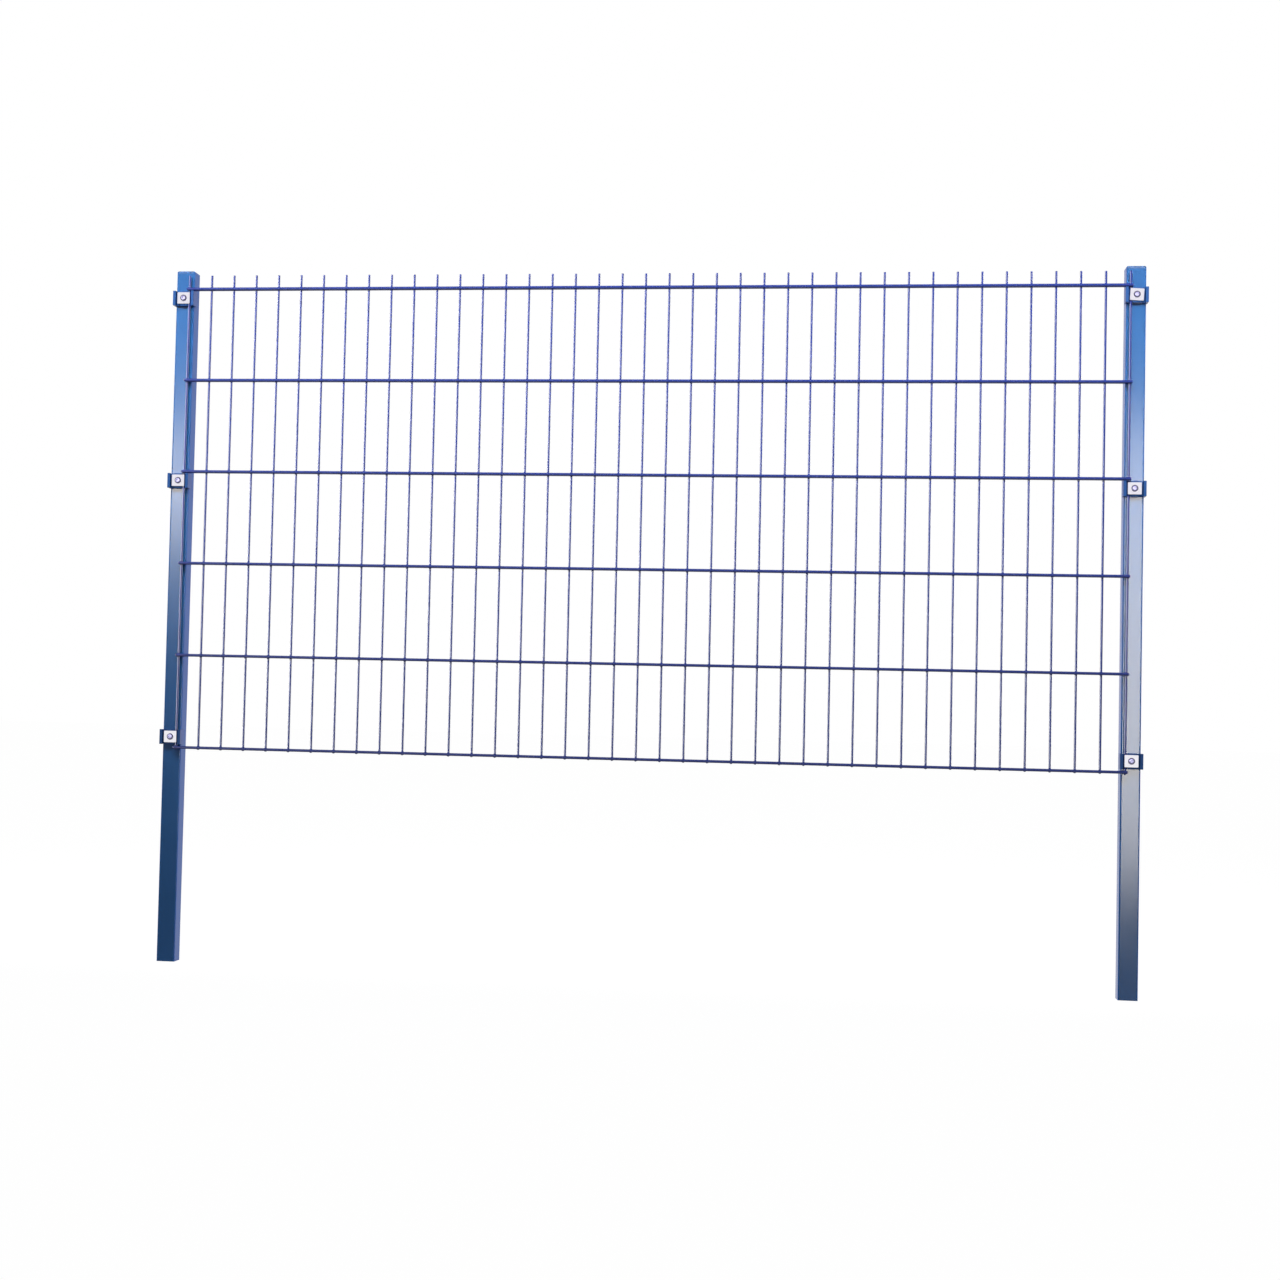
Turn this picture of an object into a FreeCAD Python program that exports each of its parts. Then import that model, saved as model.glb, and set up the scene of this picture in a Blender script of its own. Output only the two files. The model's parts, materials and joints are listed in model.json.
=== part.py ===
import FreeCAD, Part
import Sketcher
import os
from FreeCAD import Placement, Rotation, Vector

# One bay of a double-bar welded mesh fence: a mat of round wires clamped to the front of two
# square steel posts. The origin is the centre of the left post's foot, X runs along the fence,
# Y points away from the clamped side and Z is up.

doc = FreeCAD.newDocument("mesh_fence_panel")
sizes = doc.addObject("Spreadsheet::Sheet", "sizes")

driving_sizes = [
    ("post_height", 1500, "tube from foot to top"),
    ("post_width", 40, "tube along the fence"),
    ("post_depth", 40, "tube across the fence"),
    ("post_wall", 2, "tube wall"),
    ("post_corner", 3, "tube's outer corner radius"),
    ("cap_rim", 5, "cap's plate on the tube's end"),
    ("cap_bevel", 2, "bevel round the cap's top edge"),
    ("plug_depth", 14, "cap's plug inside the tube"),
    ("plug_wall", 1.8, "plug's own wall"),
    ("plug_fit", 0.2, "gap between plug and tube, each side"),
    ("wire_count", 41, "upright wires, edge wires included"),
    ("wire_pitch", 50, "upright wire to upright wire"),
    ("wire_diameter", 5, "upright wire"),
    ("wire_inset", 8, "edge wire inside the post's inner side"),
    ("bar_pitch", 200, "double bar to double bar"),
    ("bar_diameter", 6, "each bar of a double bar"),
    ("bar_overhang", 5, "bar's end past the edge wire's middle"),
    ("top_drop", 37, "top double bar below the tube's top"),
    ("wire_tip", 30, "wire's end above the top bar's middle"),
    ("weld_sink", 0.5, "depth that a wire sinks into the rear bar"),
    ("hanging_gap", 1, "clamp under a bar, bracket to bar"),
    ("standing_gap", 3.5, "clamp over a bar, bracket to bar"),
    ("bracket_height", 32, "bracket along the post"),
    ("bracket_wing", 11, "bracket's flanges along the post's sides"),
    ("bracket_flange", 3, "thickness of a flange beside the post"),
    ("bracket_lip", 6, "thickness of a flange in front of the post"),
    ("bracket_fit", 0.1, "gap between flange and post"),
    ("bracket_bevel", 0.8, "bevel on the flanges' front edges"),
    ("seat_fit", 0.5, "gap between an edge wire and the middle boss"),
    ("boss_gap", 0.3, "play under the plate, so that it grips the wires"),
    ("plate_setback", 0.5, "plate's side inside the wires' outer sides"),
    ("plate_height", 25, "cover plate along the post"),
    ("plate_thickness", 3, "cover plate"),
    ("plate_corner", 1.5, "cover plate's corner radius"),
    ("plate_lift", 0.5, "plate's middle above the bracket's"),
    ("head_diameter", 14, "bolt's button head"),
    ("head_height", 4.4, "bolt's button head"),
    ("head_face", 7.5, "flat front of the button head"),
    ("head_edge", 1.4, "straight edge of the button head"),
    ("socket_width", 5, "hexagon socket across its flats"),
    ("socket_depth", 2.6, "hexagon socket"),
    ("shank_diameter", 8, "bolt's shank"),
    ("shank_length", 26, "bolt under its head"),
    ("shank_fit", 0.5, "gap round the shank in plate and bracket"),
    ("thread_fit", 0.05, "gap round the shank in the nut"),
    ("nut_width", 11, "rivet nut's hexagonal barrel across its flats"),
    ("nut_fit", 0.1, "gap round the barrel in the tube's wall"),
    ("nut_length", 15, "rivet nut from the tube's front face"),
    ("nut_collar", 1.2, "crimped collar, past the barrel on every side"),
    ("collar_length", 3, "crimped collar behind the tube's wall"),
]
for row, (alias, value, note) in enumerate(driving_sizes, start=1):
    sizes.set(f"A{row}", alias)
    sizes.set(f"B{row}", str(value))
    sizes.set(f"C{row}", note)
    sizes.setAlias(f"B{row}", alias)
doc.recompute()

# Places that several pieces share, worked out from the driving sizes. Y is measured from the
# posts' middle: the rear bars lie on the posts, the wires sink a little into them, and the
# front bars lie on the wires.
LEFT_POST = "0"
FIRST_WIRE = "(sizes.post_width / 2 - sizes.wire_inset)"
MAT_LENGTH = "((sizes.wire_count - 1) * sizes.wire_pitch)"
RIGHT_POST = f"({MAT_LENGTH} + 2 * {FIRST_WIRE})"
POST_FRONT = "(-sizes.post_depth / 2)"
REAR_BAR = f"({POST_FRONT} - sizes.bar_diameter / 2)"
WIRE_BACK = f"({POST_FRONT} - sizes.bar_diameter + sizes.weld_sink)"
WIRE_MIDDLE = f"({WIRE_BACK} - sizes.wire_diameter / 2)"
WIRE_FRONT = f"({WIRE_BACK} - sizes.wire_diameter)"
FRONT_BAR = f"({WIRE_FRONT} - sizes.bar_diameter / 2)"
MAT_FRONT = f"({WIRE_FRONT} - sizes.bar_diameter)"

# Which bar each clamp sits beside, counted from the bottom, and whether it hangs under that
# bar (-1) or stands on it (1).
bar_count = 6
clamp_places = {"upper": (bar_count - 1, -1), "middle": (3, -1), "lower": (0, 1)}
posts = {"left": LEFT_POST, "right": RIGHT_POST}
pieces = []


def number(expression):
    """The value that an expression has now, as a plain number."""
    value = sizes.evalExpression(expression)
    return float(getattr(value, "Value", value))


def bar_height(index):
    below_top = bar_count - 1 - index
    return f"(sizes.post_height - sizes.top_drop - {below_top} * sizes.bar_pitch)"


def bracket_middle(index, hand):
    gap = "sizes.standing_gap" if hand > 0 else "sizes.hanging_gap"
    reach = f"(sizes.bar_diameter / 2 + {gap} + sizes.bracket_height / 2)"
    return f"({bar_height(index)} + {hand} * {reach})"


def bolt_height(index, hand):
    return f"({bracket_middle(index, hand)} + sizes.plate_lift)"


def place(item, along="0", across="0", up="0"):
    item.setExpression("Placement.Base.x", along)
    item.setExpression("Placement.Base.y", across)
    item.setExpression("Placement.Base.z", up)


def new_body(label):
    body = doc.addObject("PartDesign::Body", label)
    body.Label = label
    pieces.append(body)
    return body


def new_sketch(body, name, plane, offset=None):
    """A sketch on one of the body's own planes, moved along the plane's normal by offset."""
    sketch = body.newObject("Sketcher::SketchObject", f"{body.Name}_{name}")
    origin_plane = [item for item in body.Origin.OriginFeatures if item.Role == plane][0]
    sketch.AttachmentSupport = [(origin_plane, "")]
    sketch.MapMode = "FlatFace"
    if offset:
        sketch.setExpression("AttachmentOffset.Base.z", offset)
    return sketch


def pin_point(sketch, line, end, across, up):
    """Holds one end of a line at two expressions measured from the sketch's origin."""
    for kind, axis, expression in (("DistanceX", -2, across), ("DistanceY", -1, up)):
        value = number(expression)
        if abs(value) < 1e-9:
            sketch.addConstraint(Sketcher.Constraint("PointOnObject", line, end, axis))
        else:
            index = sketch.addConstraint(Sketcher.Constraint(kind, -1, 1, line, end, value))
            sketch.setExpression(f"Constraints[{index}]", expression)


def draw_outline(sketch, corners):
    """A closed outline of straight lines through corners, each a pair of expressions."""
    points = [Vector(number(across), number(up), 0) for across, up in corners]
    for index, point in enumerate(points):
        following = points[(index + 1) % len(points)]
        sketch.addGeometry(Part.LineSegment(point, following))
    for index, (across, up) in enumerate(corners):
        before = (index - 1) % len(corners)
        sketch.addConstraint(Sketcher.Constraint("Coincident", before, 2, index, 1))
        pin_point(sketch, index, 1, across, up)


def draw_rectangle(sketch, width, height, middle_up="0"):
    right = f"({width} / 2)"
    top = f"({middle_up} + {height} / 2)"
    bottom = f"({middle_up} - {height} / 2)"
    draw_outline(sketch, [(f"-{right}", bottom), (right, bottom), (right, top), (f"-{right}", top)])


def draw_circle(sketch, diameter, up="0"):
    circle = Part.Circle(Vector(0, number(up), 0), Vector(0, 0, 1), number(diameter) / 2)
    index = sketch.addGeometry(circle)
    pin_point(sketch, index, 3, "0", up)
    size = sketch.addConstraint(Sketcher.Constraint("Radius", index, number(diameter) / 2))
    sketch.setExpression(f"Constraints[{size}]", f"{diameter} / 2")


def draw_hexagon(sketch, across_flats, up="0"):
    corner = f"({across_flats} / 2 / cos(30 deg))"
    draw_outline(sketch, [
        (f"{corner} * cos({angle} deg)", f"({up} + {corner} * sin({angle} deg))")
        for angle in range(0, 360, 60)
    ])


def pad(body, sketch, length, reverse=False):
    feature = body.newObject("PartDesign::Pad", f"{sketch.Name}_pad")
    feature.Profile = sketch
    feature.Reversed = reverse
    feature.setExpression("Length", length)
    doc.recompute()
    return feature


def pocket(body, sketch, length=None, reverse=False):
    """A pocket of the given length, or through everything on its side where none is given."""
    feature = body.newObject("PartDesign::Pocket", f"{sketch.Name}_pocket")
    feature.Profile = sketch
    feature.Reversed = reverse
    if length:
        feature.setExpression("Length", length)
    else:
        feature.Type = "ThroughAll"
    doc.recompute()
    return feature


def dress(kind, body, base, name, size, wanted):
    """A fillet or chamfer on the base's edges for which wanted(edge) is true."""
    names = [f"Edge{i}" for i, edge in enumerate(base.Shape.Edges, start=1) if wanted(edge)]
    feature = body.newObject(f"PartDesign::{kind}", f"{body.Name}_{name}")
    feature.Base = (base, names)
    feature.setExpression("Radius" if kind == "Fillet" else "Size", size)
    doc.recompute()
    return feature


def stands_upright(edge):
    box = edge.BoundBox
    return box.ZLength > 1e-6 and box.XLength < 1e-6 and box.YLength < 1e-6


# The posts are square steel tubes, cut off flat at the foot. Each has three hexagonal holes in
# its front wall for the rivet nuts.
TUBE_INSIDE = "(sizes.post_width - 2 * sizes.post_wall)"
TUBE_INSIDE_DEPTH = "(sizes.post_depth - 2 * sizes.post_wall)"


def make_post(side, along):
    body = new_body(f"{side}_post")
    outside = new_sketch(body, "outside", "XY_Plane")
    draw_rectangle(outside, "sizes.post_width", "sizes.post_depth")
    solid = pad(body, outside, "sizes.post_height")
    solid = dress("Fillet", body, solid, "corners", "sizes.post_corner", stands_upright)
    inside = new_sketch(body, "inside", "XY_Plane")
    draw_rectangle(inside, TUBE_INSIDE, TUBE_INSIDE_DEPTH)
    tube = pocket(body, inside, reverse=True)
    half_inside = number(TUBE_INSIDE) / 2 + 1e-6

    def inner_corner(edge):
        return stands_upright(edge) and abs(edge.CenterOfMass.x) < half_inside and (
            abs(abs(edge.CenterOfMass.x) - half_inside) < 1e-3)

    inner_round = "sizes.post_corner - sizes.post_wall"
    dress("Fillet", body, tube, "inner_corners", inner_round, inner_corner)
    for level, (index, hand) in clamp_places.items():
        hole = new_sketch(body, f"{level}_hole", "XZ_Plane")
        draw_hexagon(hole, "(sizes.nut_width + 2 * sizes.nut_fit)", bolt_height(index, hand))
        pocket(body, hole, reverse=True)
    place(body, along)


for side, along in posts.items():
    make_post(side, along)


# Each cap is moulded: a plate as wide as the tube, bevelled on top, over a hollow plug that is
# pushed into the tube.
PLUG_WIDTH = f"({TUBE_INSIDE} - 2 * sizes.plug_fit)"
PLUG_DEEP = f"({TUBE_INSIDE_DEPTH} - 2 * sizes.plug_fit)"


def make_cap(side, along):
    body = new_body(f"{side}_cap")
    plate = new_sketch(body, "plate", "XY_Plane")
    draw_rectangle(plate, "sizes.post_width", "sizes.post_depth")
    rim = pad(body, plate, "sizes.cap_rim")
    rim = dress("Fillet", body, rim, "corners", "sizes.post_corner", stands_upright)
    top = number("sizes.cap_rim")

    def on_top(edge):
        return edge.BoundBox.ZMin > top - 1e-6

    dress("Chamfer", body, rim, "top_bevel", "sizes.cap_bevel", on_top)
    plug = new_sketch(body, "plug", "XY_Plane")
    draw_rectangle(plug, PLUG_WIDTH, PLUG_DEEP)
    pad(body, plug, "sizes.plug_depth", reverse=True)
    hollow = new_sketch(body, "hollow", "XY_Plane", "-sizes.plug_depth")
    hollow_width = f"({PLUG_WIDTH} - 2 * sizes.plug_wall)"
    hollow_deep = f"({PLUG_DEEP} - 2 * sizes.plug_wall)"
    draw_rectangle(hollow, hollow_width, hollow_deep)
    pocket(body, hollow, "sizes.plug_depth", reverse=True)
    place(body, along, up="sizes.post_height")


for side, along in posts.items():
    make_cap(side, along)


# The mat. A wire or bar is an eight-sided prism whose flats lie at the round wire's radius and
# face the posts, so crossing wires meet flat to flat.
SIDES = 8
FLAT_TO_CORNER = f"cos({180 / SIDES} deg)"
HALF_SIDE_TURN = 180 / SIDES


def make_prism(name, diameter, length):
    prism = doc.addObject("Part::Prism", name)
    prism.Polygon = SIDES
    prism.setExpression("Circumradius", f"{diameter} / 2 / {FLAT_TO_CORNER}")
    prism.setExpression("Height", length)
    return prism


def make_wire(index):
    foot = f"{bar_height(0)} - sizes.bar_diameter / 2"
    length = f"{bar_count - 1} * sizes.bar_pitch + sizes.bar_diameter / 2 + sizes.wire_tip"
    wire = make_prism(f"wire_{index + 1}", "sizes.wire_diameter", length)
    wire.Placement.Rotation = Rotation(Vector(0, 0, 1), HALF_SIDE_TURN)
    place(wire, f"{FIRST_WIRE} + {index} * sizes.wire_pitch", WIRE_MIDDLE, foot)
    return wire


def make_bar(name, index, across):
    bar = make_prism(name, "sizes.bar_diameter", f"{MAT_LENGTH} + 2 * sizes.bar_overhang")
    lying_down = Rotation(Vector(0, 1, 0), 90)
    bar.Placement.Rotation = lying_down.multiply(Rotation(Vector(0, 0, 1), HALF_SIDE_TURN))
    place(bar, f"{FIRST_WIRE} - sizes.bar_overhang", across, bar_height(index))
    return bar


wires = [make_wire(index) for index in range(int(number("sizes.wire_count")))]
rear_bars = [make_bar(f"rear_bar_{index + 1}", index, REAR_BAR) for index in range(bar_count)]
mat = doc.addObject("Part::MultiFuse", "mesh_wires")
mat.Label = "mesh_wires"
mat.Shapes = wires + rear_bars
pieces.append(mat)
for index in range(bar_count):
    pieces.append(make_bar(f"front_bar_{index + 1}", index, FRONT_BAR))


# Each bracket is moulded in one piece: a base on the post's front face, as thick as the gap
# behind the wires, a boss between the seats of this bay's edge wire and the next bay's, and two
# flanges that run forward to the mat's front and back along the post's sides. The flanges are
# twice as thick in front of the post, where nothing is in their way.
def make_bracket(name, along, index, hand):
    body = new_body(name)
    inner = "(sizes.post_width / 2 + sizes.bracket_fit)"
    outer = f"({inner} + sizes.bracket_flange)"
    lip = f"({outer} - sizes.bracket_lip)"
    boss = f"({FIRST_WIRE} - sizes.wire_diameter / 2 - sizes.seat_fit)"
    back = f"({POST_FRONT} + sizes.bracket_wing)"
    boss_front = f"({WIRE_FRONT} + sizes.boss_gap)"
    right_half = [
        (boss, boss_front), (boss, WIRE_BACK), (lip, WIRE_BACK), (lip, MAT_FRONT),
        (outer, MAT_FRONT), (outer, back), (inner, back), (inner, POST_FRONT),
    ]
    left_half = [(f"-{across}", up) for across, up in reversed(right_half)]
    profile = new_sketch(body, "profile", "XY_Plane")
    draw_outline(profile, right_half + left_half)
    solid = pad(body, profile, "sizes.bracket_height")
    front_line = number(MAT_FRONT)

    def front_edge(edge):
        return stands_upright(edge) and abs(edge.CenterOfMass.y - front_line) < 1e-6

    dress("Chamfer", body, solid, "front_bevel", "sizes.bracket_bevel", front_edge)
    hole = new_sketch(body, "hole", "XZ_Plane")
    hole_up = "(sizes.bracket_height / 2 + sizes.plate_lift)"
    draw_circle(hole, "(sizes.shank_diameter + 2 * sizes.shank_fit)", hole_up)
    pocket(body, hole, reverse=True)
    place(body, along, up=f"{bracket_middle(index, hand)} - sizes.bracket_height / 2")


# Each cover plate is a square of zinc-plated steel that presses the edge wire onto the base. It
# nearly reaches the outer sides of the two wires that it can hold.
def make_plate(name, along, index, hand):
    body = new_body(name)
    outline = new_sketch(body, "outline", "XZ_Plane")
    width = f"(2 * {FIRST_WIRE} + sizes.wire_diameter - 2 * sizes.plate_setback)"
    draw_rectangle(outline, width, "sizes.plate_height")
    solid = pad(body, outline, "sizes.plate_thickness")

    def corner(edge):
        return edge.BoundBox.YLength > 1e-6

    dress("Fillet", body, solid, "corners", "sizes.plate_corner", corner)
    hole = new_sketch(body, "hole", "XZ_Plane")
    draw_circle(hole, "(sizes.shank_diameter + 2 * sizes.shank_fit)")
    pocket(body, hole, reverse=True)
    place(body, along, WIRE_FRONT, bolt_height(index, hand))


# Each bolt has a low button head with a hexagon socket. It is turned about its own length,
# which lies along Y with the head in front.
def make_bolt(name, along, index, hand):
    body = new_body(name)
    head = "(sizes.head_diameter / 2)"
    shank = "(sizes.shank_diameter / 2)"
    profile = new_sketch(body, "profile", "XY_Plane")
    draw_outline(profile, [
        ("0", "-sizes.head_height"), ("sizes.head_face / 2", "-sizes.head_height"),
        (head, "-sizes.head_edge"), (head, "0"), (shank, "0"),
        (shank, "sizes.shank_length"), ("0", "sizes.shank_length"),
    ])
    turned = body.newObject("PartDesign::Revolution", f"{name}_turned")
    turned.Profile = profile
    turned.ReferenceAxis = (profile, ["V_Axis"])
    turned.Angle = 360
    doc.recompute()
    socket = new_sketch(body, "socket", "XZ_Plane", "sizes.head_height")
    draw_hexagon(socket, "sizes.socket_width")
    pocket(body, socket, "sizes.socket_depth")
    place(body, along, f"{WIRE_FRONT} - sizes.plate_thickness", bolt_height(index, hand))


# Each rivet nut is set flush in a hexagonal hole of the tube's front wall, so it can't turn, and
# its crimped collar holds it behind the wall.
def make_nut(name, along, index, hand):
    body = new_body(name)
    barrel = new_sketch(body, "barrel", "XZ_Plane")
    draw_hexagon(barrel, "sizes.nut_width")
    pad(body, barrel, "sizes.nut_length", reverse=True)
    collar = new_sketch(body, "collar", "XZ_Plane", "-sizes.post_wall")
    draw_hexagon(collar, "(sizes.nut_width + 2 * sizes.nut_collar)")
    pad(body, collar, "sizes.collar_length", reverse=True)
    bore = new_sketch(body, "bore", "XZ_Plane")
    draw_circle(bore, "(sizes.shank_diameter + 2 * sizes.thread_fit)")
    pocket(body, bore)
    place(body, along, POST_FRONT, bolt_height(index, hand))


for side, along in posts.items():
    for level, (index, hand) in clamp_places.items():
        make_bracket(f"{side}_{level}_bracket", along, index, hand)
        make_plate(f"{side}_{level}_plate", along, index, hand)
        make_bolt(f"{side}_{level}_bolt", along, index, hand)
        make_nut(f"{side}_{level}_nut", along, index, hand)

doc.recompute()
for item in doc.Objects:
    if "Invalid" in item.State or "Error" in item.State:
        raise RuntimeError(f"{item.Name} could not be made: {item.State}")
os.makedirs("parts", exist_ok=True)
for piece in pieces:
    if piece.Shape.isNull() or not piece.Shape.isValid():
        raise RuntimeError(f"{piece.Label} has no valid shape")
    piece.Shape.exportStep(f"parts/{piece.Label}.step")
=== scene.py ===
import json
import math

import bpy
from mathutils import Matrix, Vector

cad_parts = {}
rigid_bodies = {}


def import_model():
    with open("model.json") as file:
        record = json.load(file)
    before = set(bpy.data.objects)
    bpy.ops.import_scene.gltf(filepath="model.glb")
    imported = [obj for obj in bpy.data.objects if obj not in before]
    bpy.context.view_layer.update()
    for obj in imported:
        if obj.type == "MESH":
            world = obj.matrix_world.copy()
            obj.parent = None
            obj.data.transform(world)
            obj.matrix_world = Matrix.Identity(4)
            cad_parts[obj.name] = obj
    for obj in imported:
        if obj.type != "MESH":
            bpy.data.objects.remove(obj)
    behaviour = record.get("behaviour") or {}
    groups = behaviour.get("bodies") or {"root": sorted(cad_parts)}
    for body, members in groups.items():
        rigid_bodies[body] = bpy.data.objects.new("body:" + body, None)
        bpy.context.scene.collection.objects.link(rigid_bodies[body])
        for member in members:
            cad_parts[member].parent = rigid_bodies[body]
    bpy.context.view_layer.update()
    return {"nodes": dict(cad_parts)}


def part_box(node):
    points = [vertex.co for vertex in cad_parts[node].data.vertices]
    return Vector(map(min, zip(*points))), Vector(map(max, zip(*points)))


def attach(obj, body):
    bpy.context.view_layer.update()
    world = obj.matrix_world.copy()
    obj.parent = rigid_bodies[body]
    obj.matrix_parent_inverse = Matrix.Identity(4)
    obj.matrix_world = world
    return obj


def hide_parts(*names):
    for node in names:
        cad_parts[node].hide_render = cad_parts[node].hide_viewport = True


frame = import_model()

# The camera stands about four and a half metres in front of the bay, a little right of its middle
# and at knee height. It looks slightly left and up, and is held a little askew.
IMAGE_SIDE = 1280
FOCAL_PIXELS = 2150
SENSOR_WIDTH = 36
OPTICAL_CENTRE = (529.9, 626.6)
CAMERA_PLACE = (1.4223, -4.5432, 0.5497)
camera_data = bpy.data.cameras.new("front_camera")
camera_data.sensor_width = SENSOR_WIDTH
camera_data.lens = FOCAL_PIXELS / IMAGE_SIDE * SENSOR_WIDTH
camera_data.shift_x = (IMAGE_SIDE / 2 - OPTICAL_CENTRE[0]) / IMAGE_SIDE
camera_data.shift_y = (OPTICAL_CENTRE[1] - IMAGE_SIDE / 2) / IMAGE_SIDE
camera = bpy.data.objects.new("front_camera", camera_data)
bpy.context.scene.collection.objects.link(camera)
look_left, look_up, askew = math.radians(8.087), math.radians(2.370), math.radians(1.363)
camera.matrix_world = (
    Matrix.Translation(CAMERA_PLACE)
    @ Matrix.Rotation(look_left, 4, "Z")
    @ Matrix.Rotation(math.pi / 2 + look_up, 4, "X")
    @ Matrix.Rotation(askew, 4, "Z")
)
bpy.context.scene.camera = camera
bpy.context.scene.view_settings.view_transform = "Standard"


# The posts are square steel tubes, cut off flat at the foot, with a glossy polyester powder coat
# cured in an oven. It gives an even mid blue with a clear, slightly soft reflection and the fine
# orange peel of baked powder.
CLOUD_SIZE = 90
SHEEN_SWING = 0.03


def linear(hex_colour):
    """An sRGB colour such as 2f5f9f as linear red, green, blue and a full alpha."""
    channels = [int(hex_colour[i:i + 2], 16) / 255 for i in (0, 2, 4)]
    low = [c / 12.92 if c <= 0.04045 else ((c + 0.055) / 1.055) ** 2.4 for c in channels]
    return (*low, 1.0)


def add_node(tree, kind, settings=None, **inputs):
    """Adds a node. An input is a socket to link from or a value; its name has _ for a space."""
    node = tree.nodes.new(kind)
    for name, value in (settings or {}).items():
        setattr(node, name, value)
    for name, value in inputs.items():
        key = int(name[1:]) if name[0] == "i" and name[1:].isdigit() else name.replace("_", " ")
        if isinstance(value, bpy.types.NodeSocket):
            tree.links.new(value, node.inputs[key])
        else:
            node.inputs[key].default_value = value
    return node


def new_finish(name):
    """An empty material with its output node and the object's own coordinates."""
    material = bpy.data.materials.new(name)
    material.use_nodes = True
    tree = material.node_tree
    tree.nodes.clear()
    output = tree.nodes.new("ShaderNodeOutputMaterial")
    place = add_node(tree, "ShaderNodeTexCoord").outputs["Object"]
    return material, tree, output, place


def per_millimetre(size):
    """The noise scale whose features are about this many millimetres wide."""
    return 1000 / size


def powder_coat(name, deep, light, peel_size, peel_height, roughness, level):
    """Baked powder: two close blues in soft clouds, orange peel, and gloss that varies a little."""
    material, tree, output, place = new_finish(name)
    clouds = add_node(
        tree, "ShaderNodeTexNoise", Vector=place, Scale=per_millimetre(CLOUD_SIZE), Detail=3.0
    )
    mix = add_node(tree, "ShaderNodeMix", {"data_type": "RGBA"}, Factor=clouds.outputs["Fac"])
    mix.inputs[6].default_value = linear(deep)
    mix.inputs[7].default_value = linear(light)
    peel = add_node(
        tree, "ShaderNodeTexNoise", Vector=place, Scale=per_millimetre(peel_size), Detail=2.0
    )
    bump = add_node(tree, "ShaderNodeBump", Height=peel.outputs["Fac"], Strength=1.0)
    bump.inputs["Distance"].default_value = peel_height / 1000
    sheen = add_node(tree, "ShaderNodeMapRange", Value=clouds.outputs["Fac"])
    sheen.inputs["To Min"].default_value = roughness - SHEEN_SWING
    sheen.inputs["To Max"].default_value = roughness + SHEEN_SWING
    surface = add_node(
        tree, "ShaderNodeBsdfPrincipled", Base_Color=mix.outputs[2],
        Roughness=sheen.outputs["Result"], Normal=bump.outputs["Normal"],
        Specular_IOR_Level=level,
    )
    tree.links.new(surface.outputs["BSDF"], output.inputs["Surface"])
    return material


def finish_node(name, material):
    """Gives a CAD node its finish."""
    mesh = frame["nodes"][name].data
    mesh.materials.clear()
    mesh.materials.append(material)


post_coat = powder_coat("polyester_powder_coat", "2c63a0", "3169a8", 1.6, 0.012, 0.18, 0.1)
for side in ("left", "right"):
    finish_node(f"{side}_post", post_coat)

# The caps are moulded from polyamide coloured through in the same blue, and are pushed into the
# tubes' ends. The mould leaves a fine even grain, so they shine less than the tube.
CAP_GRAIN = 0.5
FLOW_SIZE = 12
FLOW_SWING = 0.1


def moulded_plastic(name, colour, grain, depth, gloss):
    """Plastic coloured through, with the fine grain of its mould."""
    material, tree, output, place = new_finish(name)
    texture = add_node(
        tree, "ShaderNodeTexNoise", Vector=place, Scale=per_millimetre(grain), Detail=3.0
    )
    bump = add_node(tree, "ShaderNodeBump", Height=texture.outputs["Fac"], Strength=1.0)
    bump.inputs["Distance"].default_value = depth / 1000
    flow = add_node(
        tree, "ShaderNodeTexNoise", Vector=place, Scale=per_millimetre(FLOW_SIZE), Detail=2.0
    )
    shade = add_node(tree, "ShaderNodeHueSaturation", Color=linear(colour))
    spread = add_node(tree, "ShaderNodeMapRange", Value=flow.outputs["Fac"])
    spread.inputs["To Min"].default_value = 1 - FLOW_SWING
    spread.inputs["To Max"].default_value = 1 + FLOW_SWING
    tree.links.new(spread.outputs["Result"], shade.inputs["Value"])
    surface = add_node(
        tree, "ShaderNodeBsdfPrincipled", Base_Color=shade.outputs["Color"],
        Roughness=gloss, Normal=bump.outputs["Normal"], Specular_IOR_Level=0.25,
    )
    tree.links.new(surface.outputs["BSDF"], output.inputs["Surface"])
    return material


cap_plastic = moulded_plastic("moulded_polyamide_cap", "2d629f", CAP_GRAIN, 0.01, 0.35)
for side in ("left", "right"):
    finish_node(f"{side}_cap", cap_plastic)

# The mat is bright drawn steel wire, resistance-welded and then powder coated. Two bars hold each
# row, one behind the upright wires and one in front, with a pressed weld at every crossing. The
# clamps hold its two edge wires against the posts.
wires_low, wires_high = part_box("mesh_wires")
bar_low, bar_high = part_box("front_bar_1")
next_bar_low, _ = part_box("front_bar_2")
WIRE_COUNT = 41
BAR_COUNT = 6
WIRE_RADIUS = 0.0025
BAR_RADIUS = (bar_high.z - bar_low.z) / 2
BAR_OVERHANG = 0.005
END_CHAMFER = 0.0006
ROUND_SIDES = 20
WELD_SIZE = (0.0042, 0.0016, 0.0046)
WIRE_CREASE = 35
bar_length = bar_high.x - bar_low.x
wire_pitch = (bar_length - 2 * BAR_OVERHANG) / (WIRE_COUNT - 1)
bar_pitch = next_bar_low.z - bar_low.z
wire_middle = wires_low.y + WIRE_RADIUS
front_bar_middle = (bar_low.y + bar_high.y) / 2
rear_bar_middle = wires_high.y - BAR_RADIUS


def new_tree(name, sockets):
    """A geometry tree with named inputs, and the nodes that stand at its two ends."""
    tree = bpy.data.node_groups.new(name, "GeometryNodeTree")
    for label, kind in sockets:
        tree.interface.new_socket(label, in_out="INPUT", socket_type=kind)
    tree.interface.new_socket("Geometry", in_out="OUTPUT", socket_type="NodeSocketGeometry")
    return tree, tree.nodes.new("NodeGroupInput"), tree.nodes.new("NodeGroupOutput")


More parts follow.
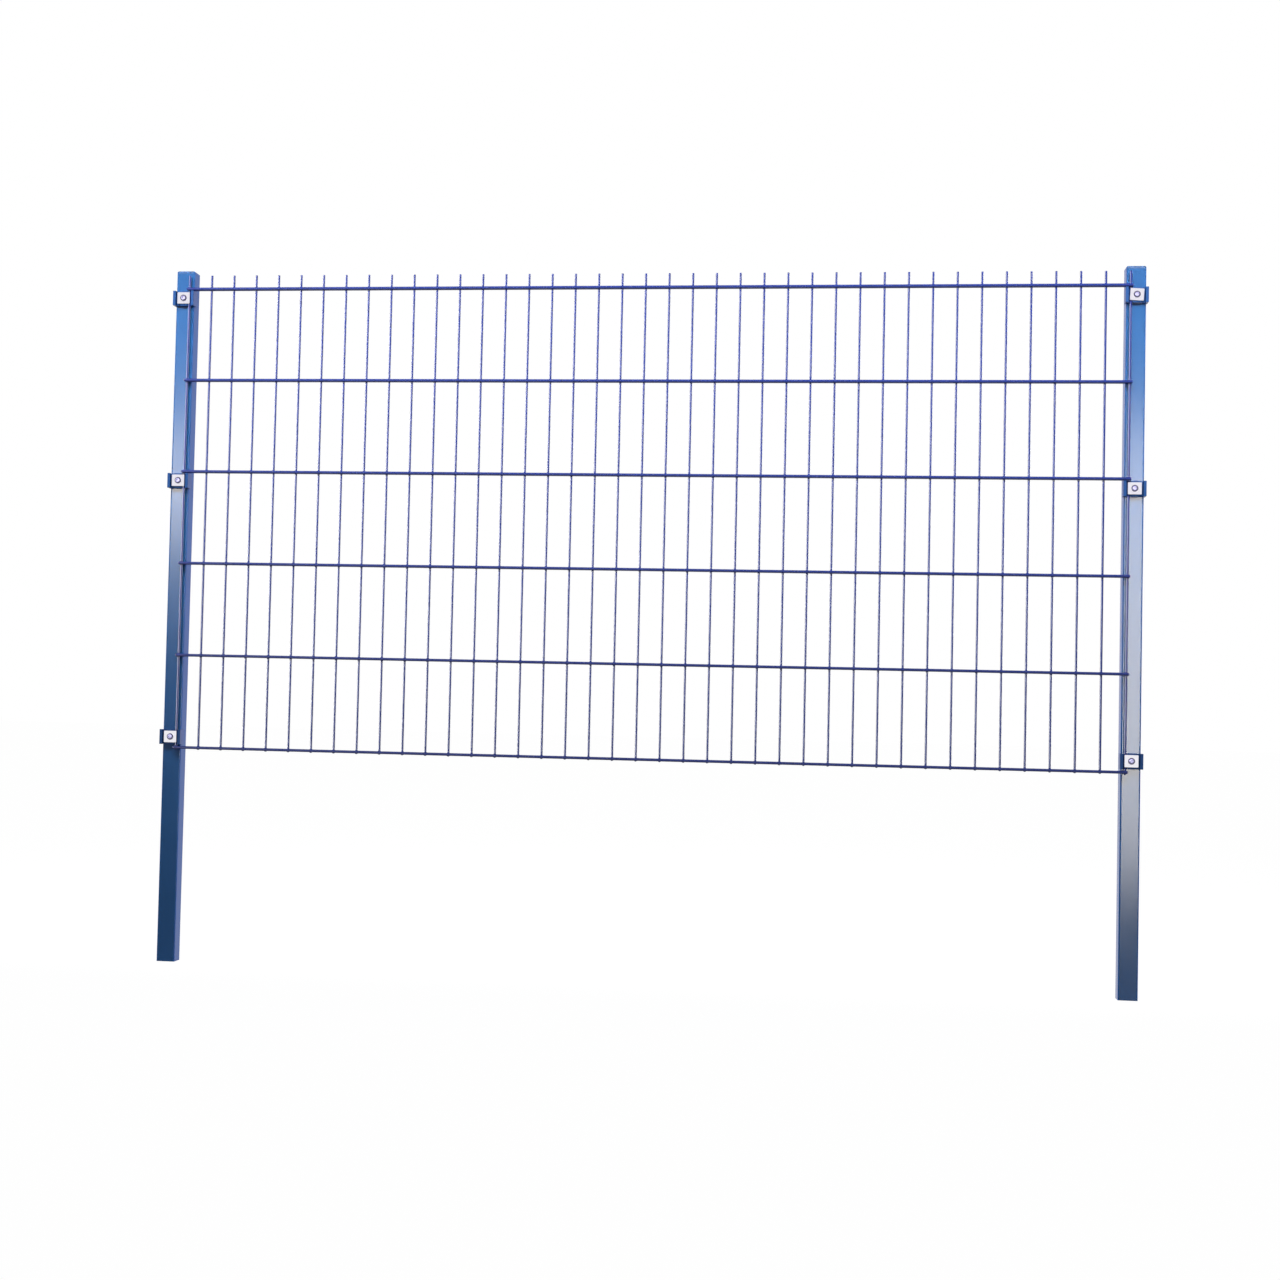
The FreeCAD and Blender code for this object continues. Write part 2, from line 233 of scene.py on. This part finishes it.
def grow(name, tree, values, shift):
    """Runs a geometry tree and returns its plain mesh as an object, moved to its place."""
    seed = bpy.data.objects.new(name, bpy.data.meshes.new(name))
    bpy.context.scene.collection.objects.link(seed)
    modifier = seed.modifiers.new("grow", "NODES")
    modifier.node_group = tree
    for item in tree.interface.items_tree:
        if item.in_out == "INPUT" and item.name in values:
            modifier[item.identifier] = values[item.name]
    graph = bpy.context.evaluated_depsgraph_get()
    mesh = bpy.data.meshes.new_from_object(seed.evaluated_get(graph), depsgraph=graph)
    seed.modifiers.remove(modifier)
    mesh.transform(Matrix.Translation(shift))
    mesh.name = name
    seed.data = mesh
    return seed


def math_node(tree, operation, first, second):
    """The result of one sum, with a socket or a number on each side."""
    return add_node(
        tree, "ShaderNodeMath", {"operation": operation}, i0=first, i1=second
    ).outputs[0]


def add_choice(tree, index, values):
    """The value, a number or a socket, that belongs to each index."""
    switch = add_node(tree, "GeometryNodeIndexSwitch", {"data_type": "FLOAT"}, Index=index)
    for _ in values[2:]:
        switch.index_switch_items.new()
    for position, value in enumerate(values, start=1):
        if isinstance(value, bpy.types.NodeSocket):
            tree.links.new(value, switch.inputs[position])
        else:
            switch.inputs[position].default_value = value
    return switch.outputs[0]


def add_turned(tree, rings, sides):
    """A turned piece that stands on the origin. Each ring is a height and a radius."""
    line = add_node(tree, "GeometryNodeMeshLine", Count=len(rings))
    index = add_node(tree, "GeometryNodeInputIndex").outputs[0]
    height = add_choice(tree, index, [ring[0] for ring in rings])
    radius = add_choice(tree, index, [ring[1] for ring in rings])
    upright = add_node(tree, "ShaderNodeCombineXYZ", Z=height).outputs[0]
    path = add_node(tree, "GeometryNodeMeshToCurve", Mesh=line.outputs[0]).outputs[0]
    path = add_node(tree, "GeometryNodeSetPosition", Geometry=path, Position=upright).outputs[0]
    ring = add_node(
        tree, "GeometryNodeCurvePrimitiveCircle", Resolution=sides, Radius=1.0
    ).outputs[0]
    return add_node(
        tree, "GeometryNodeCurveToMesh", Curve=path, Profile_Curve=ring,
        Scale=radius, Fill_Caps=True,
    ).outputs[0]


def add_round_rod(tree, length, radius):
    """A round rod with a small chamfer where it was cut and coated."""
    narrow = math_node(tree, "SUBTRACT", radius, END_CHAMFER)
    far = math_node(tree, "SUBTRACT", length, END_CHAMFER)
    rings = [(0.0, narrow), (END_CHAMFER, radius), (far, radius), (length, narrow)]
    return add_turned(tree, rings, ROUND_SIDES)


def add_soft_shading(tree, geometry, crease):
    """Smooth shading, apart from the edges that turn by more than the crease."""
    smooth = add_node(tree, "GeometryNodeSetShadeSmooth", Geometry=geometry).outputs[0]
    angle = add_node(tree, "GeometryNodeInputMeshEdgeAngle").outputs["Unsigned Angle"]
    gentle = math_node(tree, "LESS_THAN", angle, math.radians(crease))
    return add_node(
        tree, "GeometryNodeSetShadeSmooth", {"domain": "EDGE"}, Geometry=smooth,
        Shade_Smooth=gentle,
    ).outputs[0]


def add_row(tree, count, step, instance):
    """Copies of a piece, one at each step."""
    points = add_node(tree, "GeometryNodeMeshLine", Count=count, Offset=step).outputs[0]
    return add_node(
        tree, "GeometryNodeInstanceOnPoints", Points=points, Instance=instance
    ).outputs[0]


mat_tree, given, result = new_tree("double_bar_mat", [
    ("Wires", "NodeSocketInt"), ("Wire pitch", "NodeSocketFloat"),
    ("Wire radius", "NodeSocketFloat"), ("Wire length", "NodeSocketFloat"),
    ("Bars", "NodeSocketInt"), ("Bar pitch", "NodeSocketFloat"),
    ("Bar radius", "NodeSocketFloat"), ("Bar length", "NodeSocketFloat"),
    ("Overhang", "NodeSocketFloat"), ("Front layer", "NodeSocketFloat"),
    ("Rear layer", "NodeSocketFloat"), ("Weld", "NodeSocketVector"),
    ("Coating", "NodeSocketMaterial"),
])
size = given.outputs
wire = add_round_rod(mat_tree, size["Wire length"], size["Wire radius"])
wire_foot = math_node(mat_tree, "MULTIPLY", size["Bar radius"], -1.0)
wire = add_node(
    mat_tree, "GeometryNodeTransform", Geometry=wire,
    Translation=add_node(mat_tree, "ShaderNodeCombineXYZ", Z=wire_foot).outputs[0],
).outputs[0]
along = add_node(mat_tree, "ShaderNodeCombineXYZ", X=size["Wire pitch"]).outputs[0]
upward = add_node(mat_tree, "ShaderNodeCombineXYZ", Z=size["Bar pitch"]).outputs[0]
parts = [add_row(mat_tree, size["Wires"], along, wire)]
bar = add_round_rod(mat_tree, size["Bar length"], size["Bar radius"])
bar_start = math_node(mat_tree, "MULTIPLY", size["Overhang"], -1.0)
weld = add_node(mat_tree, "GeometryNodeMeshIcoSphere", Radius=1.0, Subdivisions=2).outputs[0]
weld = add_node(mat_tree, "GeometryNodeTransform", Geometry=weld, Scale=size["Weld"]).outputs[0]
weld_row = add_row(mat_tree, size["Wires"], along, weld)
for layer, inward in (("Front layer", 1.0), ("Rear layer", -1.0)):
    place = add_node(mat_tree, "ShaderNodeCombineXYZ", X=bar_start, Y=size[layer]).outputs[0]
    laid = add_node(
        mat_tree, "GeometryNodeTransform", Geometry=bar, Translation=place,
        Rotation=(0.0, math.pi / 2, 0.0),
    ).outputs[0]
    parts.append(add_row(mat_tree, size["Bars"], upward, laid))
    touch = math_node(
        mat_tree, "ADD", size[layer], math_node(mat_tree, "MULTIPLY", size["Bar radius"], inward)
    )
    place = add_node(mat_tree, "ShaderNodeCombineXYZ", Y=touch).outputs[0]
    welds = add_node(
        mat_tree, "GeometryNodeTransform", Geometry=weld_row, Translation=place
    ).outputs[0]
    parts.append(add_row(mat_tree, size["Bars"], upward, welds))
joined = mat_tree.nodes.new("GeometryNodeJoinGeometry")
for part in parts:
    mat_tree.links.new(part, joined.inputs[0])
whole = add_node(mat_tree, "GeometryNodeRealizeInstances", Geometry=joined.outputs[0]).outputs[0]
whole = add_soft_shading(mat_tree, whole, WIRE_CREASE)
whole = add_node(
    mat_tree, "GeometryNodeSetMaterial", Geometry=whole, Material=size["Coating"]
).outputs[0]
mat_tree.links.new(whole, result.inputs[0])

wire_coat = powder_coat("powder_coated_wire", "1a2f80", "1e3488", 1.2, 0.004, 0.3, 0.4)
mat = grow("welded_mesh", mat_tree, {
    "Wires": WIRE_COUNT, "Wire pitch": wire_pitch, "Wire radius": WIRE_RADIUS,
    "Wire length": wires_high.z - wires_low.z, "Bars": BAR_COUNT, "Bar pitch": bar_pitch,
    "Bar radius": BAR_RADIUS, "Bar length": bar_length, "Overhang": BAR_OVERHANG,
    "Front layer": front_bar_middle - wire_middle, "Rear layer": rear_bar_middle - wire_middle,
    "Weld": WELD_SIZE, "Coating": wire_coat,
}, Vector((bar_low.x + BAR_OVERHANG, wire_middle, bar_low.z + BAR_RADIUS)))
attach(mat, "root")
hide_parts("mesh_wires", *[f"front_bar_{i + 1}" for i in range(BAR_COUNT)])

# The brackets are moulded from the same blue polyamide, a little darker, with a satin surface.
# Each wraps the post's front and has two seats beside a middle boss, and all its edges are soft.
FLANGE = 0.003
LIP = 0.006
SEAT_PLAY = 0.0005
BOSS_PLAY = 0.0003
BRACKET_EDGE = 0.0006
clamps = [(side, level) for side in ("left", "right") for level in ("upper", "middle", "lower")]
post_low, post_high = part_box("left_post")
post_front = post_low.y
post_middle = (post_low.x + post_high.x) / 2


def extrude(name, outlines, material, edge):
    """Closed outlines, each pushed along a vector, as one mesh with softened edges."""
    points, faces = [], []
    for outline, push in outlines:
        start, count = len(points), len(outline)
        points += outline + [tuple(Vector(point) + Vector(push)) for point in outline]
        faces.append([start + i for i in reversed(range(count))])
        faces.append([start + count + i for i in range(count)])
        for i in range(count):
            after = (i + 1) % count
            faces.append([start + i, start + after, start + count + after, start + count + i])
    mesh = bpy.data.meshes.new(name)
    mesh.from_pydata(points, [], faces)
    mesh.materials.append(material)
    piece = bpy.data.objects.new(name, mesh)
    bpy.context.scene.collection.objects.link(piece)
    softened = piece.modifiers.new("softened_edges", "BEVEL")
    softened.width = edge
    softened.segments = 2
    softened.limit_method = "ANGLE"
    softened.harden_normals = True
    for face in mesh.polygons:
        face.use_smooth = True
    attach(piece, "root")
    return piece


def bracket_outline(low, high):
    """The bracket from above: it opens to the front between its flanges and at the back."""
    middle = (low.x + high.x) / 2
    inner = (high.x - low.x) / 2 - FLANGE
    outer = inner + FLANGE
    lip = outer - LIP
    wire_back = wire_middle + WIRE_RADIUS
    boss_front = wire_middle - WIRE_RADIUS + BOSS_PLAY
    edge_wire = bar_low.x + BAR_OVERHANG - post_middle
    boss = edge_wire - WIRE_RADIUS - SEAT_PLAY
    right_half = [
        (boss, boss_front), (boss, wire_back), (lip, wire_back), (lip, low.y),
        (outer, low.y), (outer, high.y), (inner, high.y), (inner, post_front),
    ]
    left_half = [(-x, y) for x, y in reversed(right_half)]
    return [(middle + x, y, low.z) for x, y in right_half + left_half]


bracket_plastic = moulded_plastic("moulded_polyamide_bracket", "2c5592", 0.6, 0.012, 0.34)
outlines = []
for side, level in clamps:
    low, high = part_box(f"{side}_{level}_bracket")
    outlines.append((bracket_outline(low, high), (0, 0, high.z - low.z)))
brackets = extrude("clamp_brackets", outlines, bracket_plastic, BRACKET_EDGE)
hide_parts(*[f"{side}_{level}_bracket" for side, level in clamps])


# The cover plates are cold-rolled strip, sheared, tumbled and then bright zinc plated, which gives
# a pale silver with fine rolling lines. A bolt presses each one on the edge wire. The upper right
# one was tightened a little askew.
PLATE_CORNER = 0.0015
PLATE_EDGE = 0.0004
CORNER_STEPS = 5
ASKEW = {("right", "upper"): math.radians(3.5)}
ALONG_LINES = 0.05
TONE_CLOUD = 7
TONE_RANGE = (0.93, 1.05)
LINE_SWING = 0.08
LINE_DEPTH = 0.00002


def plated_steel(name, colour, line_size, roughness):
    """Bare or plated steel: fine rolling lines along it, and a tone that clouds a little."""
    material, tree, output, place = new_finish(name)
    stretched = add_node(tree, "ShaderNodeMapping", Vector=place)
    stretched.inputs["Scale"].default_value = (ALONG_LINES, 1.0, 1.0)
    lines = add_node(
        tree, "ShaderNodeTexNoise", Vector=stretched.outputs[0],
        Scale=per_millimetre(line_size), Detail=4.0,
    )
    cloud = add_node(
        tree, "ShaderNodeTexNoise", Vector=place, Scale=per_millimetre(TONE_CLOUD), Detail=3.0
    )
    tone = add_node(tree, "ShaderNodeMapRange", Value=cloud.outputs["Fac"])
    tone.inputs["To Min"].default_value, tone.inputs["To Max"].default_value = TONE_RANGE
    shade = add_node(
        tree, "ShaderNodeHueSaturation", Color=linear(colour), Value=tone.outputs["Result"]
    )
    rough = add_node(tree, "ShaderNodeMapRange", Value=lines.outputs["Fac"])
    rough.inputs["To Min"].default_value = roughness - LINE_SWING
    rough.inputs["To Max"].default_value = roughness + LINE_SWING
    bump = add_node(tree, "ShaderNodeBump", Height=lines.outputs["Fac"], Strength=0.6)
    bump.inputs["Distance"].default_value = LINE_DEPTH
    surface = add_node(
        tree, "ShaderNodeBsdfPrincipled", Base_Color=shade.outputs["Color"], Metallic=1.0,
        Roughness=rough.outputs["Result"], Normal=bump.outputs["Normal"],
    )
    tree.links.new(surface.outputs["BSDF"], output.inputs["Surface"])
    return material


def plate_outline(low, high, turn):
    """A square with round corners, seen from the front, turned about its middle."""
    middle_x, middle_z = (low.x + high.x) / 2, (low.z + high.z) / 2
    reach_x = (high.x - low.x) / 2 - PLATE_CORNER
    reach_z = (high.z - low.z) / 2 - PLATE_CORNER
    points = []
    for quarter, (right, up) in enumerate([(1, 1), (-1, 1), (-1, -1), (1, -1)]):
        for step in range(CORNER_STEPS):
            angle = math.pi / 2 * (quarter + step / (CORNER_STEPS - 1))
            x = right * reach_x + PLATE_CORNER * math.cos(angle)
            z = up * reach_z + PLATE_CORNER * math.sin(angle)
            across = x * math.cos(turn) + z * math.sin(turn)
            upward = z * math.cos(turn) - x * math.sin(turn)
            points.append((middle_x + across, low.y, middle_z + upward))
    return points


zinc = plated_steel("bright_zinc_plate", "fbfafc", 0.3, 0.36)
outlines = []
for side, level in clamps:
    low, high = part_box(f"{side}_{level}_plate")
    outline = plate_outline(low, high, ASKEW.get((side, level), 0))
    outlines.append((outline, (0, high.y - low.y, 0)))
plates = extrude("cover_plates", outlines, zinc, PLATE_EDGE)
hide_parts(*[f"{side}_{level}_plate" for side, level in clamps])

# The bolts are turned stainless steel with a domed button head and a hexagon socket, screwed into
# the rivet nuts. One tree turns the bolt, cuts the socket and sets a copy in every clamp.
HEAD_RADIUS = 0.007
HEAD_HEIGHT = 0.0044
HEAD_EDGE = 0.0009
HEAD_FACE = 0.0036
DOME_RINGS = 7
SOCKET_ACROSS = 0.005
SOCKET_DEPTH = 0.0026
SHANK_RADIUS = 0.004
SHANK_CHAMFER = 0.0008
HEAD_BREAK = 0.0003
HEAD_SEAT = 0.00001
BOLT_SIDES = 40
BOLT_CREASE = 28
first_low, first_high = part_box("left_upper_bolt")
shank_length = first_high.y - first_low.y - HEAD_HEIGHT
rings = [
    (0.0, SHANK_RADIUS - SHANK_CHAMFER), (SHANK_CHAMFER, SHANK_RADIUS),
    (shank_length, SHANK_RADIUS), (shank_length + HEAD_SEAT, HEAD_RADIUS - HEAD_BREAK),
    (shank_length + HEAD_BREAK, HEAD_RADIUS), (shank_length + HEAD_EDGE, HEAD_RADIUS),
]
for ring in range(1, DOME_RINGS + 1):
    angle = math.pi / 2 * ring / DOME_RINGS
    dome_height = (HEAD_HEIGHT - HEAD_EDGE) * math.sin(angle)
    dome_radius = HEAD_FACE + (HEAD_RADIUS - HEAD_FACE) * math.cos(angle)
    rings.append((shank_length + HEAD_EDGE + dome_height, dome_radius))
bolt_tree, given, result = new_tree("socket_bolts", [
    ("Places", "NodeSocketObject"), ("Socket across", "NodeSocketFloat"),
    ("Socket depth", "NodeSocketFloat"), ("Length", "NodeSocketFloat"),
    ("Steel", "NodeSocketMaterial"),
])
blank = add_turned(bolt_tree, rings, BOLT_SIDES)
corner = math_node(
    bolt_tree, "DIVIDE", given.outputs["Socket across"], 2 * math.cos(math.radians(30))
)
deep = math_node(bolt_tree, "MULTIPLY", given.outputs["Socket depth"], 2.0)
hexagon = add_node(
    bolt_tree, "GeometryNodeMeshCylinder", Vertices=6, Radius=corner, Depth=deep
).outputs[0]
hexagon = add_node(
    bolt_tree, "GeometryNodeTransform", Geometry=hexagon,
    Translation=add_node(bolt_tree, "ShaderNodeCombineXYZ", Z=given.outputs["Length"]).outputs[0],
).outputs[0]
cut = add_node(bolt_tree, "GeometryNodeMeshBoolean", {"operation": "DIFFERENCE"}, i0=blank)
bolt_tree.links.new(hexagon, cut.inputs[1])
bolt = add_soft_shading(bolt_tree, cut.outputs[0], BOLT_CREASE)
bolt = add_node(
    bolt_tree, "GeometryNodeTransform", Geometry=bolt, Rotation=(math.pi / 2, 0.0, 0.0)
).outputs[0]
spots = add_node(bolt_tree, "GeometryNodeObjectInfo", Object=given.outputs["Places"])
copies = add_node(
    bolt_tree, "GeometryNodeInstanceOnPoints", Points=spots.outputs["Geometry"], Instance=bolt
).outputs[0]
copies = add_node(bolt_tree, "GeometryNodeRealizeInstances", Geometry=copies).outputs[0]
copies = add_node(
    bolt_tree, "GeometryNodeSetMaterial", Geometry=copies, Material=given.outputs["Steel"]
).outputs[0]
bolt_tree.links.new(copies, result.inputs[0])
# The steel's base colour is a dark violet grey, far darker than real stainless: painted shade that
# stands in for the dark reflections at the rim of each domed head.
stainless_painted_dark = plated_steel("tumbled_stainless_painted_dark", "6a6880", 0.4, 0.24)
spot_mesh = bpy.data.meshes.new("bolt_places")
spot_points = []
for side, level in clamps:
    low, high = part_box(f"{side}_{level}_bolt")
    spot_points.append(((low.x + high.x) / 2, high.y, (low.z + high.z) / 2))
spot_mesh.from_pydata(spot_points, [], [])
spot_holder = bpy.data.objects.new("bolt_places", spot_mesh)
bpy.context.scene.collection.objects.link(spot_holder)
bolts = grow("clamp_bolts", bolt_tree, {
    "Places": spot_holder, "Socket across": SOCKET_ACROSS, "Socket depth": SOCKET_DEPTH,
    "Length": shank_length + HEAD_HEIGHT, "Steel": stainless_painted_dark,
}, Vector((0, 0, 0)))
bpy.data.objects.remove(spot_holder)
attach(bolts, "root")
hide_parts(*[f"{side}_{level}_bolt" for side, level in clamps])

# The rivet nuts are plain zinc-plated steel, set in the front walls of the tubes. They are hidden
# behind the clamps and keep their plain shape.
nut_zinc = plated_steel("plain_zinc_nut", "a9a9ad", 0.5, 0.4)
for side, level in clamps:
    finish_node(f"{side}_{level}_nut", nut_zinc)

# A pale studio floor. The camera and reflections see it nearly white, and it keeps a soft share
# of the shadow.
REACH = 60
PAPER_WHITE = (0.9, 0.9, 0.9, 1)
PAPER_GLOW = 1.14
GLOW_SHARE = 0.85


def sees_background(tree):
    """The Light Path outputs, and 1 for a ray that the background is white to."""
    seen = add_node(tree, "ShaderNodeLightPath").outputs
    direct = math_node(tree, "MAXIMUM", seen["Is Camera Ray"], seen["Is Glossy Ray"])
    return seen, math_node(tree, "MAXIMUM", direct, seen["Is Transmission Ray"])


floor_mesh = bpy.data.meshes.new("studio_floor")
floor_mesh.from_pydata(
    [(-REACH, -REACH, 0), (REACH, -REACH, 0), (REACH, REACH, 0), (-REACH, REACH, 0)],
    [], [(0, 1, 2, 3)],
)
floor = bpy.data.objects.new("studio_floor", floor_mesh)
bpy.context.scene.collection.objects.link(floor)
paper = bpy.data.materials.new("white_studio_paper")
paper.use_nodes = True
paper_tree = paper.node_tree
paper_tree.nodes.clear()
_, direct = sees_background(paper_tree)
share = math_node(paper_tree, "MULTIPLY", direct, GLOW_SHARE)
matt = add_node(paper_tree, "ShaderNodeBsdfDiffuse", Color=PAPER_WHITE).outputs[0]
white = add_node(
    paper_tree, "ShaderNodeEmission", Color=(1, 1, 1, 1), Strength=PAPER_GLOW
).outputs[0]
blend = add_node(paper_tree, "ShaderNodeMixShader", i0=share, i1=matt, i2=white).outputs[0]
add_node(paper_tree, "ShaderNodeOutputMaterial", Surface=blend)
floor_mesh.materials.append(paper)

# The world is white to the camera, faintly violet in reflections like the studio in the photo,
# and a weak even light on surfaces.
EVEN_LIGHT = 0.18
STUDIO_TINT = "f5f3fd"
world = bpy.data.worlds.new("white_studio")
bpy.context.scene.world = world
world.use_nodes = True
world_tree = world.node_tree
world_tree.nodes.clear()
seen, direct = sees_background(world_tree)
strength = add_node(world_tree, "ShaderNodeMapRange", Value=direct)
strength.inputs["To Min"].default_value = EVEN_LIGHT
strength.inputs["To Max"].default_value = 1.0
mirrored = math_node(world_tree, "MAXIMUM", seen["Is Glossy Ray"], seen["Is Transmission Ray"])
tint = add_node(world_tree, "ShaderNodeMix", {"data_type": "RGBA"}, Factor=mirrored)
tint.inputs[6].default_value = (1, 1, 1, 1)
tint.inputs[7].default_value = linear(STUDIO_TINT)
sky = add_node(
    world_tree, "ShaderNodeBackground", Color=tint.outputs[2], Strength=strength.outputs["Result"]
)
add_node(world_tree, "ShaderNodeOutputWorld", Surface=sky.outputs[0])


# Soft lights: a long strip in front of the bay's top lights everything, and a lamp at each end the
# sides of posts and brackets. The others only show as reflections: two softboxes in the posts,
# three walls along the wires and a card in the bolts.
WARM = "fff7ea"
VIOLET = "b8c0ff"


def softbox(
    name, place, target, size, watts, tint="ffffff", receivers=None, lights=False, spread=180
):
    """A rectangle that lights surfaces or only shows as a reflection, in some pieces or all."""
    lamp_data = bpy.data.lights.new(name, "AREA")
    lamp_data.shape = "RECTANGLE"
    lamp_data.size, lamp_data.size_y = size
    lamp_data.energy = watts
    lamp_data.color = linear(tint)[:3]
    lamp_data.spread = math.radians(spread)
    lamp = bpy.data.objects.new(name, lamp_data)
    lamp.location = place
    aim = Vector(target) - Vector(place)
    lamp.rotation_euler = aim.to_track_quat("-Z", "Y").to_euler()
    lamp.visible_camera = False
    lamp.visible_diffuse = lights
    lamp.visible_glossy = not lights
    bpy.context.scene.collection.objects.link(lamp)
    if receivers:
        lamp.light_linking.receiver_collection = receivers


def shown_in(name, pieces):
    """A collection of the pieces that a softbox reaches."""
    collection = bpy.data.collections.new(name)
    for piece in pieces:
        collection.objects.link(piece)
    return collection


tubes = shown_in("coated_tubes", [
    frame["nodes"][f"{side}_{part}"] for side in ("left", "right") for part in ("post", "cap")
])
tubes_and_brackets = shown_in("tubes_and_brackets", [*tubes.objects, brackets])
wires = shown_in("coated_wire", [mat])
heads = shown_in("steel_bolts", [bolts])
softbox(
    "strip_over_bay", (1.0, -1.1, 2.0), (1.0, 0.0, 1.28), (3.4, 0.4), 15, lights=True, spread=70
)
softbox(
    "right_end", (6.2, 1.6, 1.3), (0.0, 0.0, 0.9), (2.5, 3.0), 240, VIOLET,
    tubes_and_brackets, lights=True,
)
softbox(
    "left_end", (-4.2, 1.6, 1.3), (2.0, 0.0, 0.9), (2.5, 3.0), 240, VIOLET,
    tubes_and_brackets, lights=True,
)
softbox("left_softbox", (-2.5, -8.0, 1.88), (0.0, 0.0, 1.05), (1.2, 0.42), 245, WARM, tubes)
softbox("right_softbox", (2.55, -4.0, 0.8), (2.3, 0.0, 0.65), (0.9, 1.8), 340, WARM, tubes)
softbox("front_wall", (-5.4, -5.2, 1.7), (0.6, 0.0, 1.7), (5.0, 3.6), 1700, receivers=wires)
softbox("left_wall", (-5.0, 2.5, 1.5), (0.0, 0.0, 1.0), (3.5, 3.6), 600, receivers=wires)
softbox("right_wall", (7.0, 2.5, 1.5), (2.0, 0.0, 1.0), (3.5, 3.6), 600, receivers=wires)
softbox("front_card", (-1.0, -8.0, 2.4), (-1.0, 0.0, 2.4), (10.0, 4.4), 900, receivers=heads)
